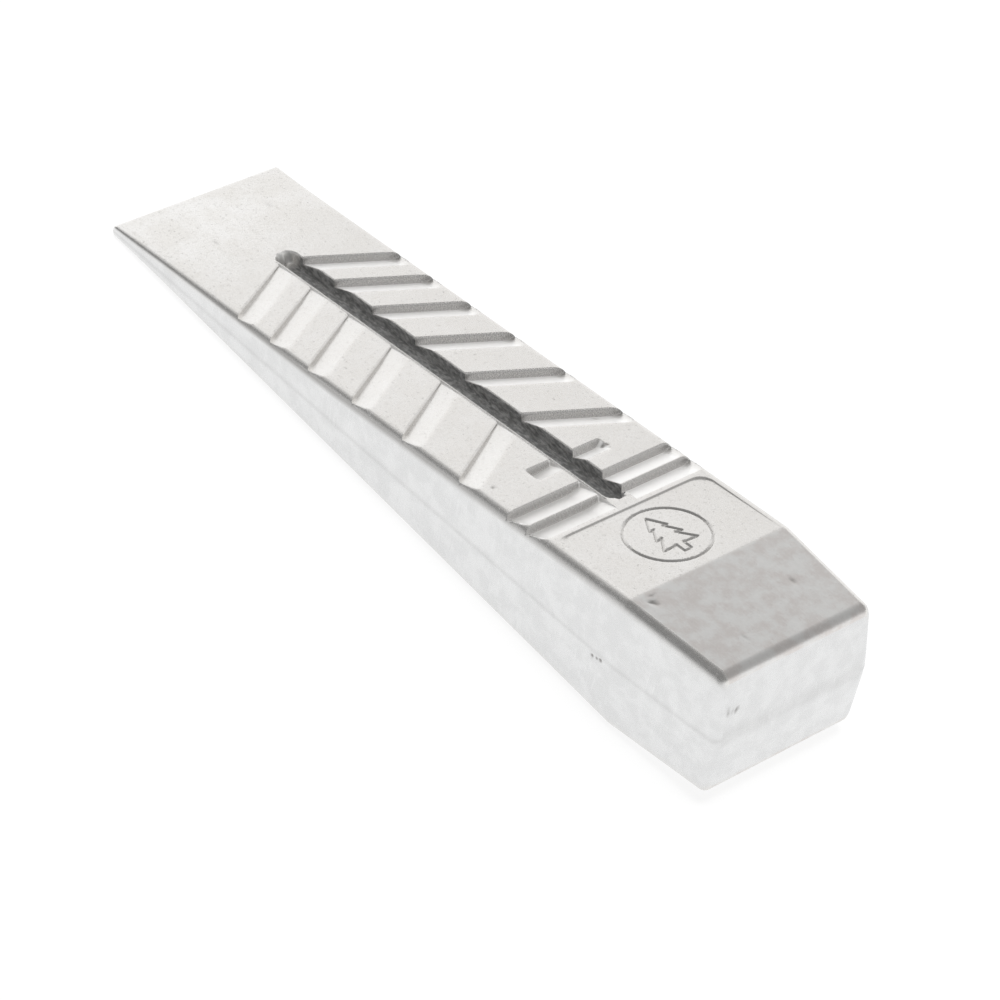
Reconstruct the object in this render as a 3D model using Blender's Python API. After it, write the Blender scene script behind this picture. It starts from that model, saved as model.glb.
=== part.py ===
"""Forged aluminium felling wedge, one solid piece.

The wedge is drawn about the parting plane of its forging dies: +X runs from the thin tip to the struck
head, +Y across the width and +Z up from the parting plane.  Both faces carry the same barbs, cross
grooves and centre slot; on the -Y side the barbs are shallower.  The finished piece is then laid down
on its lower face.  Metres throughout.
"""

import math

import bmesh
import bpy
from mathutils import Euler, Vector

MM = 0.001

# ---- driving dimensions -------------------------------------------------------------------------
LENGTH = 222.0 * MM                 # tip to struck face, along the parting plane
WIDTH = 50.0 * MM                   # across the parting line, from the tip to the kink
HEAD_WIDTH = 45.0 * MM              # across the parting line at the struck face
KINK_X = 191.2 * MM                 # where the wedge faces end and the head tapers back
TIP_HALF_THICKNESS = 1.41 * MM
KINK_HALF_THICKNESS = 17.93 * MM
HEAD_HALF_THICKNESS = 16.95 * MM
SIDE_DRAFT = math.radians(2.1)
HEAD_DRAFT = math.radians(5.6)
HEAD_LAND = 2.0 * MM                # half height of the flat land at the middle of the struck face
TIP_EDGE_RADIUS = 0.85 * MM
HEAD_EDGE_RADIUS = 2.25 * MM
TIP_CORNER_RADIUS = 1.8 * MM        # seen from above
LEAST_CORNER_RADIUS = 0.05 * MM     # of the section, where the head's edge rounding ends
THIN_EDGE_SHARE = 0.6               # of the half thickness that the edge rounding may take up at the tip
THIN_LAND_SHARE = 1 / 3             # of the half thickness, where that is too thin for the whole land

# Barbs: chevrons with the apex towards the tip, a steep wall facing the head and a ramp behind it.
BARB_COUNT = 6
FIRST_BARB_X = 37.3 * MM
FIRST_BARB_PITCH = 12.8 * MM
BARB_PITCH_GROWTH = 1.95 * MM
BARB_SWEEP = 0.581                  # how far an arm moves towards the head for each unit outwards
NOTCH_DEPTH = 1.95 * MM
WALL_RUN = 0.35 * MM
BARB_RAMP = 6.9 * MM
NOTCH_INNER_Y = 3.7 * MM            # where the notches end beside the slot
NOTCH_END_DRAFT = 0.25 * MM
NOTCH_LIFT_Y = 21.3 * MM            # outside this the notch floor curves up to the edge of the wedge
NOTCH_LIFT_CURVE = 104.0            # of that curve, per metre
NOTCH_OUTER_Y = (21.3 * MM, 22.7 * MM, 24.1 * MM, 25.3 * MM)
NOTCH_MIDDLE_Y = 9.0 * MM           # where the slope of the shallower notches' floor changes

# On the -Y side the notches are shallower: shares of the full depth beside the slot, at the middle
# place and at the side.
SHALLOW_BARB_SHARES = (0.23, 0.44, 0.69)
SHALLOW_GROOVE_SHARES = (0.7, 1.0, 1.0)
FULL_SHARES = (1.0, 1.0, 1.0)

# Cross grooves between the last barb and the panel.
CROSS_RAMP = 6.0 * MM
SHORT_RAMP = 4.6 * MM
WIDE_GROOVES_X = (151.5 * MM, 158.1 * MM)
SHORT_GROOVE_X = 141.2 * MM
SHORT_GROOVE_Y = (-9.9 * MM, 11.5 * MM)

SLOT_START = 34.4 * MM
SLOT_END = 160.9 * MM
SLOT_CENTRE_Y = 0.93 * MM           # the slot sits a little to one side
SLOT_HALF_WIDTH = 2.93 * MM
SLOT_FLOOR_HALF_WIDTH = 2.45 * MM
SLOT_DEPTH = 3.0 * MM
SLOT_START_RUN = 3.4 * MM           # the tip end of the slot rises on a cone

PANEL_START = 165.2 * MM
PANEL_HALF_WIDTH = 21.7 * MM
PANEL_CORNER_RADIUS = 4.0 * MM
PANEL_DEPTH = 0.35 * MM             # at its tip end, running out to nothing at the kink

RING_X = 177.9 * MM
RING_RADIUS = 10.0 * MM
RING_LINE = 0.55 * MM
RING_DEPTH = 0.25 * MM

CLEARANCE = 0.1 * MM                # how far a cutter stands clear of the face it cuts
PANEL_CLEARANCE = 0.2 * MM
SIDE_OVERRUN = 2.0 * MM
NOSE_STATIONS = (0.02, 0.15, 0.45, 1.0)     # rings of the round nose, in shares of its radius
EDGE_STEPS = 4
CORNER_STEPS = 6
RING_STEPS = 40
MERGE_DISTANCE = 0.001 * MM
SHARP_ANGLE = math.radians(35)

FACE_SLOPE = (KINK_HALF_THICKNESS - TIP_HALF_THICKNESS) / KINK_X
FACE_ANGLE = math.atan(FACE_SLOPE)
UPPER, LOWER = 1.0, -1.0
LEFT, RIGHT = -1.0, 1.0

ALUMINIUM_COLOUR = (0.78, 0.77, 0.75, 1.0)
ALUMINIUM_ROUGHNESS = 0.42


def remove_everything():
    for item in list(bpy.data.objects):
        bpy.data.objects.remove(item, do_unlink=True)


# ---- shape of the forging -----------------------------------------------------------------------
def face_height(x):
    """Height of the flat wedge face above the parting plane, carried on past both its ends."""
    return TIP_HALF_THICKNESS + FACE_SLOPE * x


def half_thickness(x):
    if x < TIP_HALF_THICKNESS:
        return TIP_HALF_THICKNESS * math.sin(math.acos(1.0 - x / TIP_HALF_THICKNESS))
    if x <= KINK_X:
        return face_height(x)
    along = (x - KINK_X) / (LENGTH - KINK_X)
    return KINK_HALF_THICKNESS + (HEAD_HALF_THICKNESS - KINK_HALF_THICKNESS) * along


def half_width(x):
    if x < TIP_CORNER_RADIUS:
        across = TIP_CORNER_RADIUS - x
        return WIDTH / 2 - TIP_CORNER_RADIUS + math.sqrt(TIP_CORNER_RADIUS ** 2 - across ** 2)
    if x <= KINK_X:
        return WIDTH / 2
    along = (x - KINK_X) / (LENGTH - KINK_X)
    return (WIDTH + (HEAD_WIDTH - WIDTH) * along) / 2


def edge_radius(x):
    radius = TIP_EDGE_RADIUS + (HEAD_EDGE_RADIUS - TIP_EDGE_RADIUS) * x / LENGTH
    return min(radius, THIN_EDGE_SHARE * half_thickness(x))


def quadrant(width, height, radius):
    """Upper right quarter of a cross section: parting line, drafted side, rounded edge, face."""
    land = min(HEAD_LAND, height * THIN_LAND_SHARE)
    points = [(width, 0.0), (width - land * math.tan(SIDE_DRAFT), land)]
    centre_z = height - radius
    centre_y = width - centre_z * math.tan(SIDE_DRAFT) - radius / math.cos(SIDE_DRAFT)
    for step in range(EDGE_STEPS + 1):
        angle = SIDE_DRAFT + (math.pi / 2 - SIDE_DRAFT) * step / EDGE_STEPS
        points.append((centre_y + radius * math.cos(angle), centre_z + radius * math.sin(angle)))
    return points


def section(width, height, radius):
    """Whole cross section, counter-clockwise as seen from the head."""
    upper_right = quadrant(width, height, radius)
    upper_left = [(-y, z) for y, z in reversed(upper_right)]
    lower_left = [(-y, -z) for y, z in upper_right[1:]]
    lower_right = [(y, -z) for y, z in reversed(upper_right)]
    return upper_right + upper_left + lower_left + lower_right[:-1]


def upright_ring(x):
    outline = section(half_width(x), half_thickness(x), edge_radius(x))
    return [Vector((x, y, z)) for y, z in outline]


def body_rings():
    """Rings of points from the round nose to the edge of the struck face."""
    rings = [upright_ring(share * TIP_HALF_THICKNESS) for share in NOSE_STATIONS]
    rings += [upright_ring(TIP_CORNER_RADIUS), upright_ring(KINK_X)]

    shoulder = LENGTH - HEAD_EDGE_RADIUS
    for step in range(EDGE_STEPS + 1):
        angle = math.pi / 2 * step / EDGE_STEPS
        inset = HEAD_EDGE_RADIUS * (1.0 - math.cos(angle))
        advance = HEAD_EDGE_RADIUS * math.sin(angle)
        outline = section(
            half_width(shoulder) - inset,
            half_thickness(shoulder) - inset,
            max(HEAD_EDGE_RADIUS - inset, LEAST_CORNER_RADIUS),
        )
        ring = []
        for y, z in outline:
            setback = max(abs(z) - HEAD_LAND, 0.0) * math.tan(HEAD_DRAFT)
            ring.append(Vector((shoulder + advance - setback, y, z)))
        rings.append(ring)
    return rings


def loft(mesh, rings):
    """Skin a list of equal rings and close the two ends."""
    loops = [[mesh.verts.new(point) for point in ring] for ring in rings]
    count = len(loops[0])
    for start, end in zip(loops, loops[1:]):
        for index in range(count):
            following = (index + 1) % count
            mesh.faces.new((start[index], start[following], end[following], end[index]))
    return loops


def new_object(name, mesh, frame):
    bmesh.ops.recalc_face_normals(mesh, faces=mesh.faces)
    data = bpy.data.meshes.new(name)
    mesh.to_mesh(data)
    mesh.free()
    item = bpy.data.objects.new(name, data)
    bpy.context.collection.objects.link(item)
    item.parent = frame
    return item


def forging(frame):
    mesh = bmesh.new()
    loops = loft(mesh, body_rings())
    mesh.faces.new(loops[0])
    close_struck_face(mesh, loops[-1])
    return new_object("wedge_body", mesh, frame)


def close_struck_face(mesh, ring):
    """Fill the head with its middle land and the two drafted faces above and below it."""
    bands = (
        lambda z: z > HEAD_LAND - CLEARANCE,
        lambda z: abs(z) < HEAD_LAND + CLEARANCE,
        lambda z: z < CLEARANCE - HEAD_LAND,
    )
    for inside in bands:
        mesh.faces.new([vertex for vertex in ring if inside(vertex.co.z)])


# ---- cutters ------------------------------------------------------------------------------------
def prism(mesh, lower, upper):
    """Closed solid between two outlines with the same number of points."""
    bottom, top = loft(mesh, (lower, upper))
    mesh.faces.new(bottom)
    mesh.faces.new(top)


def plain_depth(y, shares):
    """Depth of a notch at a distance y from the middle, before its floor lifts towards the edge."""
    inner, middle, outer = shares
    if y < NOTCH_MIDDLE_Y:
        share = inner + (middle - inner) * (y - NOTCH_INNER_Y) / (NOTCH_MIDDLE_Y - NOTCH_INNER_Y)
    else:
        share = middle + (outer - middle) * (y - NOTCH_MIDDLE_Y) / (WIDTH / 2 - NOTCH_MIDDLE_Y)
    return NOTCH_DEPTH * share


def notch_section(face, wall_x, ramp, y, depth, lift, draft):
    """V across a notch; the draft moves its lowest point along the notch."""
    slope = depth / (ramp - WALL_RUN)
    sunk = depth - lift
    wall_top = -WALL_RUN * CLEARANCE / sunk
    ramp_top = WALL_RUN + (sunk + CLEARANCE) / slope
    x = wall_x + WALL_RUN
    return [
        Vector((wall_x + wall_top, y, face * (face_height(wall_x + wall_top) + CLEARANCE))),
        Vector((x, y + draft, face * (face_height(x) - sunk))),
        Vector((wall_x + ramp_top, y, face * (face_height(wall_x + ramp_top) + CLEARANCE))),
    ]


def notch(mesh, face, sections):
    """Closed cutter of one notch; sections are (wall position, ramp, y, depth, lift, draft)."""
    loops = loft(mesh, [notch_section(face, *values) for values in sections])
    mesh.faces.new(loops[0])
    mesh.faces.new(loops[-1])


def side_notch(mesh, face, side, wall_x, ramp, sweep, shares):
    """Notch from beside the slot out over the edge of the wedge on one side."""
    inner_depth = plain_depth(NOTCH_INNER_Y, shares)
    inner_x = wall_x + sweep * NOTCH_INNER_Y
    sections = [(inner_x, ramp, side * NOTCH_INNER_Y, inner_depth, 0.0, side * NOTCH_END_DRAFT)]
    for y in (NOTCH_MIDDLE_Y,) + NOTCH_OUTER_Y:
        depth = plain_depth(y, shares)
        lift = NOTCH_LIFT_CURVE * max(y - NOTCH_LIFT_Y, 0.0) ** 2
        sections.append((wall_x + sweep * y, ramp, side * y, depth, lift * depth / NOTCH_DEPTH, 0.0))
    notch(mesh, face, sections)


def barb_positions():
    x = FIRST_BARB_X
    for index in range(BARB_COUNT):
        yield x
        x += FIRST_BARB_PITCH + BARB_PITCH_GROWTH * index


def barb_cutter(frame):
    mesh = bmesh.new()
    for face in (UPPER, LOWER):
        for side, shares in ((LEFT, SHALLOW_BARB_SHARES), (RIGHT, FULL_SHARES)):
            for wall_x in barb_positions():
                side_notch(mesh, face, side, wall_x, BARB_RAMP, BARB_SWEEP, shares)
    return new_object("barb_cutter", mesh, frame)


def cross_groove_cutter(frame):
    mesh = bmesh.new()
    for face in (UPPER, LOWER):
        for side, end, shares in zip((LEFT, RIGHT), SHORT_GROOVE_Y, (SHALLOW_GROOVE_SHARES, FULL_SHARES)):
            draft = side * NOTCH_END_DRAFT
            inner_depth = plain_depth(NOTCH_INNER_Y, shares)
            notch(mesh, face, (
                (SHORT_GROOVE_X, SHORT_RAMP, side * NOTCH_INNER_Y, inner_depth, 0.0, draft),
                (SHORT_GROOVE_X, SHORT_RAMP, end, NOTCH_DEPTH, 0.0, -draft),
            ))
            for wall_x in WIDE_GROOVES_X:
                side_notch(mesh, face, side, wall_x, CROSS_RAMP, 0.0, shares)
    return new_object("cross_groove_cutter", mesh, frame)


def stadium(start, end, half_span):
    """Plan outline of a slot with round ends."""
    outline = []
    for centre, turn in ((end - half_span, -math.pi / 2), (start + half_span, math.pi / 2)):
        for step in range(CORNER_STEPS + 1):
            angle = turn + math.pi * step / CORNER_STEPS
            x = centre + half_span * math.cos(angle)
            outline.append((x, SLOT_CENTRE_Y + half_span * math.sin(angle)))
    return outline


def slot_cutter(frame):
    mesh = bmesh.new()
    mouth = stadium(SLOT_START, SLOT_END, SLOT_HALF_WIDTH)
    end_run = SLOT_HALF_WIDTH - SLOT_FLOOR_HALF_WIDTH
    floor = stadium(SLOT_START + SLOT_START_RUN, SLOT_END - end_run, SLOT_FLOOR_HALF_WIDTH)
    for face in (UPPER, LOWER):
        lower = [Vector((x, y, face * (face_height(x) - SLOT_DEPTH))) for x, y in floor]
        upper = [Vector((x, y, face * (face_height(x) + CLEARANCE))) for x, y in mouth]
        prism(mesh, lower, upper)
    return new_object("slot_cutter", mesh, frame)


def panel_outline():
    """Plan of the panel: square at the kink, round corners at its tip side."""
    past_kink = KINK_X + SIDE_OVERRUN
    outline = [(past_kink, -PANEL_HALF_WIDTH), (past_kink, PANEL_HALF_WIDTH)]
    centre_x = PANEL_START + PANEL_CORNER_RADIUS
    centre_y = PANEL_HALF_WIDTH - PANEL_CORNER_RADIUS
    for side, turn in ((1.0, math.pi / 2), (-1.0, math.pi)):
        for step in range(CORNER_STEPS + 1):
            angle = turn + math.pi / 2 * step / CORNER_STEPS
            outline.append((
                centre_x + PANEL_CORNER_RADIUS * math.cos(angle),
                side * centre_y + PANEL_CORNER_RADIUS * math.sin(angle),
            ))
    return outline


def panel_depth(x):
    return PANEL_DEPTH * (KINK_X - x) / (KINK_X - PANEL_START)


def panel_cutter(frame):
    mesh = bmesh.new()
    outline = panel_outline()
    for face in (UPPER, LOWER):
        lower = [Vector((x, y, face * (face_height(x) - panel_depth(x)))) for x, y in outline]
        upper = [Vector((x, y, face * (face_height(x) + PANEL_CLEARANCE))) for x, y in outline]
        prism(mesh, lower, upper)
    return new_object("panel_cutter", mesh, frame)


def ring_cutter(frame):
    """Plain stamped circle on the upper panel."""
    mesh = bmesh.new()
    rings = []
    for step in range(RING_STEPS):
        angle = 2 * math.pi * step / RING_STEPS
        ring = []
        for radius, lift in (
            (RING_RADIUS - RING_LINE / 2, -RING_DEPTH),
            (RING_RADIUS + RING_LINE / 2, -RING_DEPTH),
            (RING_RADIUS + RING_LINE / 2, PANEL_DEPTH),
            (RING_RADIUS - RING_LINE / 2, PANEL_DEPTH),
        ):
            x = RING_X + radius * math.cos(angle)
            height = face_height(x) - panel_depth(x) + lift
            ring.append(Vector((x, radius * math.sin(angle), height)))
        rings.append(ring)
    loft(mesh, rings + rings[:1])
    bmesh.ops.remove_doubles(mesh, verts=mesh.verts, dist=MERGE_DISTANCE)
    return new_object("ring_cutter", mesh, frame)


def cut(body, cutter):
    cutter.hide_render = True
    cutter.display_type = 'WIRE'
    step = body.modifiers.new(cutter.name, 'BOOLEAN')
    step.operation = 'DIFFERENCE'
    step.solver = 'EXACT'
    step.object = cutter


# ---- material, assembly and resting place -------------------------------------------------------
def forged_aluminium():
    material = bpy.data.materials.new("forged_aluminium")
    material.use_nodes = True
    shader = material.node_tree.nodes["Principled BSDF"]
    shader.inputs["Base Color"].default_value = ALUMINIUM_COLOUR
    shader.inputs["Metallic"].default_value = 1.0
    shader.inputs["Roughness"].default_value = ALUMINIUM_ROUGHNESS
    return material


def lay_on_lower_face(frame, body):
    """Tilt the wedge onto its lower face, with the bottom centre of its box at the origin."""
    tilt = Euler((0.0, -FACE_ANGLE, 0.0))
    turned = [tilt.to_matrix() @ vertex.co for vertex in body.data.vertices]
    xs = [point.x for point in turned]
    frame.rotation_euler = tilt
    frame.location = (-(min(xs) + max(xs)) / 2, 0.0, -min(point.z for point in turned))


def main():
    remove_everything()
    frame = bpy.data.objects.new("wedge_frame", None)
    bpy.context.collection.objects.link(frame)
    body = forging(frame)
    body.data.materials.append(forged_aluminium())
    body.data.shade_smooth()
    body.data.set_sharp_from_angle(angle=SHARP_ANGLE)
    for cutter in (barb_cutter, cross_groove_cutter, slot_cutter, panel_cutter, ring_cutter):
        cut(body, cutter(frame))
    lay_on_lower_face(frame, body)


main()
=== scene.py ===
"""Looks of the forged aluminium felling wedge: one finely meshed forging, its metal, the studio."""

import math

import bpy
import numpy as np
from mathutils import Matrix, Vector


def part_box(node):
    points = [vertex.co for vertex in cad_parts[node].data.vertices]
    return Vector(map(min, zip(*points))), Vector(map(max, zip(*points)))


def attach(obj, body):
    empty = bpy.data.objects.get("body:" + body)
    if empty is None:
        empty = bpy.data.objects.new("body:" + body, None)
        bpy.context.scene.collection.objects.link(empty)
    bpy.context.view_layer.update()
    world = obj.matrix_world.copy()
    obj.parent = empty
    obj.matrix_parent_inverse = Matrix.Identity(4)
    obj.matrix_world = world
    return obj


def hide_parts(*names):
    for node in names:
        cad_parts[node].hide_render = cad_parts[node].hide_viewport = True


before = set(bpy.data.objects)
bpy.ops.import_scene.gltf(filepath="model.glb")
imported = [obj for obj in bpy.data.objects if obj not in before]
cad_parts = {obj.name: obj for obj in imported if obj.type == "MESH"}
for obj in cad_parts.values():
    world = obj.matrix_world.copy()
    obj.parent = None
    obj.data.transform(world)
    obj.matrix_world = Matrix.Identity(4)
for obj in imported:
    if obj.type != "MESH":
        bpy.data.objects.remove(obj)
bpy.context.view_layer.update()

MM = 0.001

# ---- the wedge, in millimetres about its parting plane: +X tip to head, +Z upper face -------------
LENGTH = 222.0
WIDTH = 50.0
HEAD_WIDTH = 45.0
KINK_X = 191.2                      # where the wedge faces end and the bevel to the head begins
KINK_BLEND = 0.08
TIP_HALF_THICKNESS = 1.41
KINK_HALF_THICKNESS = 17.93
HEAD_HALF_THICKNESS = 16.95
SIDE_DRAFT = math.radians(2.1)
HEAD_DRAFT = math.radians(5.6)
HEAD_LAND = 2.0                     # half height of the flat land across the struck face
HEAD_LAND_BLEND = 1.0
TIP_EDGE_RADIUS = 1.4
HEAD_EDGE_RADIUS = 2.45
EDGE_STRETCH = 1.7                  # how much further the edge rounding reaches down than across
THIN_EDGE_SHARES = (0.6, 0.8)       # of the half thickness that it may take up across and down
LEAST_EDGE_RADIUS = 0.02
HEAD_END_RADIUS = 2.25
TIP_CORNER_RADIUS = 1.1
PARTING_RIDGE, PARTING_RIDGE_WIDTH = 0.07, 0.45

BARB_COUNT = 6
FIRST_BARB_X = 37.3
FIRST_BARB_PITCH = 12.8
BARB_PITCH_GROWTH = 1.95
BARB_SWEEP = 0.581
NOTCH_DEPTH = 1.95
WALL_RUN = 0.35
WALL_TOP_RADIUS = 0.8
FOOT_BLEND, CREST_BLEND = 0.35, 0.14    # roundings at the bottom and at the far end of a notch
BARB_RAMP = 6.9
NOTCH_INNER_Y, NOTCH_INNER_SLOPE = 3.2, 7.0     # where the notches end beside the slot, and how steeply
NEAR_INNER_Y, NEAR_INNER_SLOPE = 2.7, 4.0       # the same on the -Y side
NOTCH_INNER_BLEND = 0.3
NEAR_BARB_Y = (2.7, 9.0, 25.0)      # the -Y barbs are shallower towards the slot
NEAR_BARB_DEPTHS = (0.4, 0.85, 1.35)
NEAR_GROOVE_Y = (2.7, 7.0)          # so are the ends of the cross grooves
NEAR_GROOVE_SHARES = (0.6, 1.0)
NOTCH_LIFT_Y = 21.3                 # outside this the notch floor curves up to the edge
NOTCH_LIFT_CURVE = 0.104
LEAST_LIFT_BLEND, LIFT_BLEND_GROWTH = 0.02, 0.1
CROSS_RAMP = 6.0
SHORT_RAMP = 4.6
WIDE_GROOVES_X = (151.5, 158.1)
SHORT_GROOVE_X = 141.2
SHORT_GROOVE_Y = (-9.9, 11.5)
SHORT_END_SLOPE, SHORT_END_BLEND = 1.6, 0.7

SLOT_START, SLOT_END = 34.4, 160.9
SLOT_CENTRE_Y = 0.93                # the slot sits a little to one side
SLOT_HALF_WIDTH = 2.93
SLOT_DEPTH = 3.0
SLOT_WALL_SLOPE = 6.0               # depth gained for each unit inwards
SLOT_RUN_OUT, SLOT_RUN_OUT_LEAD = 0.36, 0.2     # at the tip end the slot rises on a hollow curve
SLOT_CHAMFER = 0.25
SLOT_MOUTH_BLEND, SLOT_FLOOR_BLEND = 0.12, 0.8
RIM_Y, RIM_HEIGHT, RIM_WIDTH = -2.3, 0.18, 0.32     # fine bead along the wide side of the slot
RIM_START, RIM_END = (2.0, 4.0), (0.5, 1.5)     # its fades, measured from the two ends of the slot

PANEL_START = 165.2
PANEL_HALF_WIDTH = 21.7
PANEL_CORNER_RADIUS = 4.0
PANEL_DEPTH = 0.35
PANEL_WALL_SLOPE, PANEL_BLEND = 1.3, 0.06
MARK_X, MARK_RADIUS = 177.9, 10.0
MARK_STROKE, MARK_DEPTH = 0.38, 0.34
TREE_TOP = 7.2                      # from the middle of the mark towards the tip
TREE_OUTLINE = ((0.0, 0.0), (4.2, 2.5), (4.0, 1.3), (7.8, 3.7), (7.5, 2.0), (11.6, 4.9), (11.3, 1.0),
                (14.0, 1.0), (14.0, 0.0))       # half of the tree: distance from its top, and outwards

# ---- wear: knocks as (along, across, radius, depth), then grime, painted shade and painted highlight that tint the metal ---
BEVEL_KNOCKS = ((194.2, -19.0, 0.45, 0.30), (195.0, -18.3, 0.30, 0.20), (192.6, -17.2, 0.35, 0.15),
                (205.0, 12.0, 0.50, 0.10), (213.5, -9.0, 0.40, 0.12))
FACE_KNOCKS = ((143.1, 11.1, 0.35, 0.25), (144.0, 11.8, 0.30, 0.20), (141.8, -19.8, 0.40, 0.15),
               (22.0, -9.0, 0.60, 0.06), (14.0, 12.0, 0.80, 0.06), (133.0, 17.5, 0.50, 0.08))
SIDE_KNOCKS = ((184.7, -1.6, 0.35, 0.20), (186.2, -1.3, 0.30, 0.18), (187.4, -1.0, 0.40, 0.20))
HEAD_KNOCKS = ((-19.3, 7.2, 0.45, 0.20), (-18.2, 7.1, 0.35, 0.15), (-17.0, 6.9, 0.45, 0.18))
WORN_FACE_DEPTH, WORN_SIDE_DEPTH = 0.12, 0.1    # a knock this deep or deeper is full of grime
MARK_GRIME = 0.4
SEAM_SHADE, SEAM_WIDTH = 0.16, 0.7  # painted shade: a grey line along the parting ridge
HEAD_STAIN, HEAD_STAIN_FADE = 0.14, (1.5, 0.5)  # and on the head: none and full, as shares of its land

EDGE_SHADE = 0.65                    # grey painted shade below the rounded long edges
EDGE_SHADE_TOP, EDGE_SHADE_END = (0.5, 1.3), (2.5, 1.3)     # distance down the edge: none and full, at both limits
EDGE_SHADE_THIN = 9.0                     # where the half thickness is less, these distances shrink with it
EDGE_SHADE_X, EDGE_SHADE_STRENGTH = (20.0, 60.0, 180.0, 206.0), (0.7, 1.4, 0.8, 0.55)   # along the wedge

NEAR_BARB_HIGHLIGHT, NEAR_CROSS_HIGHLIGHT = 0.28, 0.7       # painted highlight on the ramps on the -Y side; it is 1 on the other
HIGHLIGHT_START, HIGHLIGHT_END = (0.32, 0.72), 0.6          # behind a wall: none and full; fade before the crest
HIGHLIGHT_OUTER_Y = (23.6, 21.1)          # the painted highlight on the +Y side: none and full
STRIP_HIGHLIGHT, STRIP_Y = 0.5, (-3.3, -3.1)          # painted highlight on a strip beside the slot on the -Y side
RUN_OUT_HIGHLIGHT, RUN_OUT_X = 0.45, (2.9, 1.5)       # painted highlight on the tip end of the slot, measured from its start
WALL_SHADE_TOP, WALL_SHADE_FOOT = (-0.75, -0.45), (0.6, 0.4)      # painted shade on the notch walls; behind a wall: none and full
BEVEL_BLUR = 0.25                   # half width of the change of tone at the kink
SHOWN_DEPTH = 0.15                  # where a notch is shallower, its painted highlight and painted shade fade
SLOT_SHADE_DEPTH, SLOT_SHADE_X = (0.1, 0.3), (2.8, 4.8)     # dark crust with painted shade in the slot, by depth and from its start
EDGE_HIGHLIGHT_POWER, EDGE_WALL_SHADE_POWER = 6, 4          # how fast both fade where the edge turns down
OPEN_DEPTH = 0.05                   # where the slot is deeper, no painted highlight or painted shade of a notch shows

# ---- colours of the metal --------------------------------------------------------------------------
FACE_TONES = ((0.80, 0.783, 0.757), (0.86, 0.850, 0.836))
# painted shade on the face, towards the head and the +Y side
FACE_SHADE_TONE = (0.73, 0.712, 0.69)
FACE_GRAIN = (0.70, 0.68, 0.65)
FACE_PIT = (0.42, 0.40, 0.37)
FACE_SCRATCH = (0.95, 0.945, 0.935)
BEVEL_TONES = ((0.70, 0.668, 0.648), (0.775, 0.77, 0.757))
BEVEL_GRAIN = (0.86, 0.85, 0.835)
BEVEL_PIT = (0.40, 0.38, 0.36)
BEVEL_SCRATCH = (0.86, 0.85, 0.84)
SIDE_TONES = ((0.715, 0.717, 0.717), (0.765, 0.767, 0.767))
SIDE_WEAR = (0.86, 0.862, 0.862)
# painted shade on the steep notch walls
WALL_SHADE_TONE = (0.46, 0.45, 0.44)
# painted highlight: near-white tone for the ramps, the strip beside the slot and the slot's tip end
RAMP_HIGHLIGHT_TONE = (0.97, 0.965, 0.955)
# dirt in knocks and the mark, and painted shade below the edges and along the parting ridge
DIRT_AND_SHADE_TONE = (0.20, 0.19, 0.18)
# dark crust with painted shade in the slot
CRUST_AND_SHADE_TONES = ((0.32, 0.318, 0.315), (0.70, 0.695, 0.685))
ROUGHNESS = (0.22, 0.32)
BEVEL_ROUGHNESS, SOOT_ROUGHNESS, RAMP_ROUGHNESS = 0.10, 0.20, 0.14  # added to it there
RAMP_CHALK, WALL_CHALK = 0.42, 0.5  # how much less metallic the highlighted ramps and the shaded walls look
SCRATCH_SOFTNESS = 0.06
BUMP_HEIGHT = 0.04 * MM

# ---- studio light, as radiance --------------------------------------------------------------------
BRIGHT_SIDE = (-0.80, 0.60, 0.0)    # from behind the wedge, to the left
BRIGHT_SPREAD = (0.30, 0.70)        # cosine towards that side where the light begins and is full
BRIGHT_TOP = (0.42, 0.80)           # sine of elevation where it starts to fall and has gone
HORIZON = (0.10, 0.28)              # the same for the pale band all round
HORIZON_SPREAD, HORIZON_SHARES = (-0.9, 0.2), (0.45, 0.9)   # that band in front and behind
BRIGHT_LIGHT = 1.13
DIM_SPREAD, DIM_LIGHTS = (-0.3, 0.5), (0.28, 0.44)          # the rest of the sky, in front and behind
OVERHEAD_LAMP, OVERHEAD_ANGLE = 2.75, math.radians(35.0)
FLOOR_REACH, FLOOR_ROUGHNESS = 3.0, 0.9
FLOOR_PAPER, FLOOR_GLOW = 0.15, 0.85    # the floor is a white light table

# ---- camera, in metres and millimetres of lens ----------------------------------------------------
CAMERA_AZIMUTH = math.radians(44.0)
CAMERA_ELEVATION = math.radians(42.6)
CAMERA_ROLL = math.radians(11.1)
CAMERA_TARGET = (0.0159, -0.0029, 0.0043)
CAMERA_DISTANCE = 0.8465
CAMERA_LENS, CAMERA_SENSOR = 132.2, 36.0

# ---- fineness of the mesh --------------------------------------------------------------------------
NOSE_STEPS, HEAD_END_STEPS, FILLET_STEPS, FLANK_STEPS = 8, 8, 10, 10
STEP_GROWTH = 1.3
LEAST_STEP = 0.03                   # a line closer than this to the one before is left out
WALL_STEP, CREST_STEP, SLOT_STEP, PANEL_STEP, PLAIN_STEP = 0.085, 0.18, 0.075, 0.09, 0.2
RIDGE_ROWS = np.array([0.0, 0.18, 0.36, 0.54, 0.8, 1.05, 1.3, 1.55, 1.8, 2.1])  # from the parting line
RIDGE_THIN = 4.0                    # where the side is lower, these rows and the ridge shrink with it
NARROW_GAP = 0.2                    # a last gap under this share of two steps is evened out
FLAT_MARGIN = 0.15                  # left between the face's outermost column and the rounded edge
SETBACK_START = 4.0                 # past the kink the lines begin to bend with the head's setback
EDGE_PASSES = 3

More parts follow.
